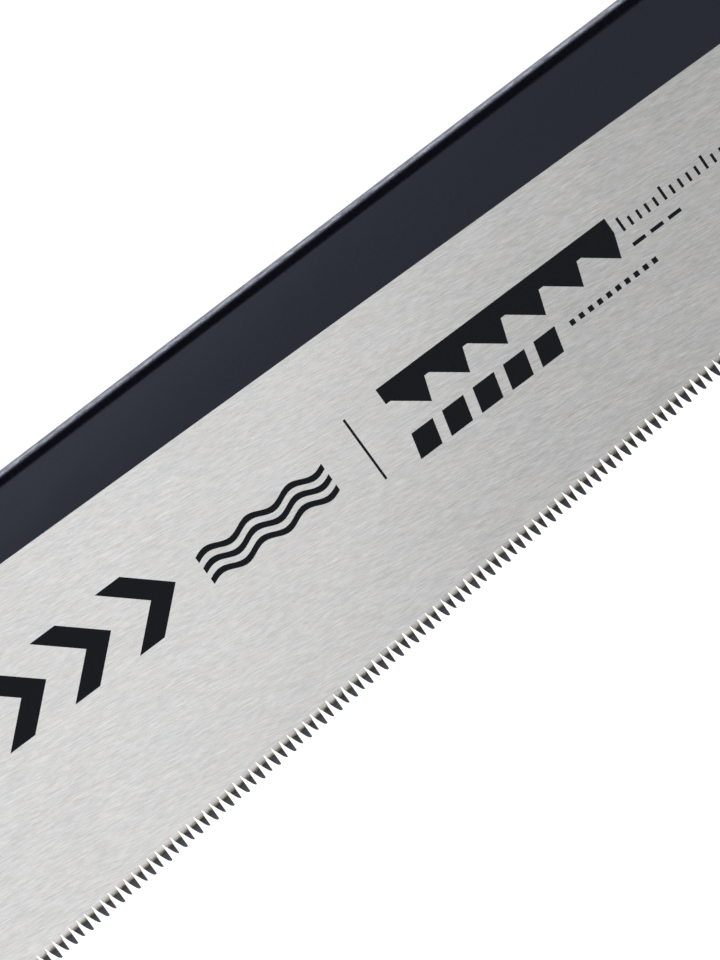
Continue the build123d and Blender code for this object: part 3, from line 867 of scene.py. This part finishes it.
def add_softbox(name, x_low, x_high, y_low, y_high, height, radiance):
    """A level softbox above the blade. Its limits are in metres from the middle of the view, along
    axes turned by SOFTBOX_TURN."""
    turn = Matrix.Rotation(SOFTBOX_TURN, 3, "Z")
    middle = VIEW_POINT + turn @ Vector(((x_low + x_high) / 2, (y_low + y_high) / 2, height))
    width, length = x_high - x_low, y_high - y_low
    lamp = add_area(name, middle, middle - Vector((0, 0, 1)), width, length,
                    radiance_power(width, length, radiance))
    lamp.rotation_euler = (0.0, 0.0, SOFTBOX_TURN)


make_floor()

# Two softboxes that overlap above the blade, a strip that edges the fold, and a fill for the handle
add_softbox("key_softbox", -1.10, 0.265, -1.10, 0.25, 1.0, 0.46)
add_softbox("wide_softbox", -1.10, 1.00, -0.80, 0.25, 1.02, 0.55)
add_area("rim_strip", VIEW_POINT + Vector((0.0, 1.3, 0.02)), VIEW_POINT, 3.0, 0.16,
         radiance_power(3.0, 0.16, 3.0))
add_area("handle_fill", (0.35, -1.0, 0.7), (0.1, 0.0, 0.0), 0.8, 0.5, radiance_power(0.8, 0.5, 1.2))


# Strengths of the surround overhead, at the sides, and as the camera sees it
SURROUND = 0.035
SIDE_GLOW = 0.60
BACKDROP = 1.0
# The sine of an elevation, or the cosine of an angle from the dark heading, at each end of a fade
OVERHEAD_FADE = (0.62, 0.80)
HORIZON_FADE = (0.06, 0.16)
DARK_FADE = (math.cos(math.radians(30.0)), math.cos(math.radians(17.0)))
DARK_HEADING = math.radians(8.0)


def make_world():
    """Pale sides all round, dim overhead and towards the back, so that dark gloss stays dark, behind a
    pale backdrop."""
    world = bpy.data.worlds.new("soft_surround")
    world.use_nodes = True
    tree = world.node_tree
    seen = add_node(tree, "ShaderNodeLightPath").outputs["Is Camera Ray"]
    toward = add_node(tree, "ShaderNodeTexCoord").outputs["Generated"]
    parts = add_node(tree, "ShaderNodeSeparateXYZ", {"Vector": toward})
    level = add_node(tree, "ShaderNodeCombineXYZ", {"X": parts.outputs["X"], "Y": parts.outputs["Y"]})
    heading = add_node(tree, "ShaderNodeVectorMath", operation="NORMALIZE")
    tree.links.new(level.outputs["Vector"], heading.inputs[0])
    facing = add_node(tree, "ShaderNodeVectorMath", operation="DOT_PRODUCT")
    tree.links.new(heading.outputs["Vector"], facing.inputs[0])
    facing.inputs[1].default_value = (math.sin(DARK_HEADING), math.cos(DARK_HEADING), 0.0)
    dark = maths(tree, "MULTIPLY", remap(tree, facing.outputs["Value"], *DARK_FADE, 0.0, 1.0),
                 remap(tree, parts.outputs["Z"], *HORIZON_FADE, 0.0, 1.0))
    low = remap(tree, parts.outputs["Z"], *OVERHEAD_FADE, 1.0, 0.0)
    glow = maths(tree, "MULTIPLY", low, maths(tree, "SUBTRACT", 1.0, dark))
    unseen = maths(tree, "MULTIPLY", maths(tree, "SUBTRACT", 1.0, seen),
                   remap(tree, glow, 0.0, 1.0, SURROUND, SIDE_GLOW))
    backdrop = maths(tree, "MULTIPLY", seen, BACKDROP)
    background = tree.nodes["Background"]
    background.inputs["Color"].default_value = colour(1.0, 1.0, 1.0)
    tree.links.new(maths(tree, "ADD", backdrop, unseen), background.inputs["Strength"])
    bpy.context.scene.world = world


make_world()
bpy.context.scene.view_settings.view_transform = "Standard"

# Where the camera stands from the view point: tilted from square by two angles, and rolled
CAMERA_DISTANCE = 0.55
CAMERA_TO_TOE = math.radians(7.69)
CAMERA_TO_BACK = math.radians(12.0)
CAMERA_ROLL = math.radians(37.78)
CAMERA_LENS = 143.27


def make_camera():
    """A long lens nearly square to the blade, rolled so that the back rises to the right."""
    toward = Vector((-math.sin(CAMERA_TO_TOE), math.sin(CAMERA_TO_BACK), 0.0))
    toward.z = math.sqrt(1.0 - toward.length_squared)
    level = (Vector((1, 0, 0)) - toward * toward.x).normalized()
    across = toward.cross(level)
    right = math.cos(CAMERA_ROLL) * level - math.sin(CAMERA_ROLL) * across
    up = toward.cross(right)
    data = bpy.data.cameras.new("camera")
    data.lens = CAMERA_LENS
    data.sensor_width = 36.0
    data.clip_start = 0.01
    data.clip_end = 20.0
    camera = bpy.data.objects.new("camera", data)
    turn = Matrix((right, up, toward)).transposed().to_4x4()
    camera.matrix_world = Matrix.Translation(VIEW_POINT + toward * CAMERA_DISTANCE) @ turn
    bpy.context.scene.collection.objects.link(camera)
    bpy.context.scene.camera = camera


make_camera()
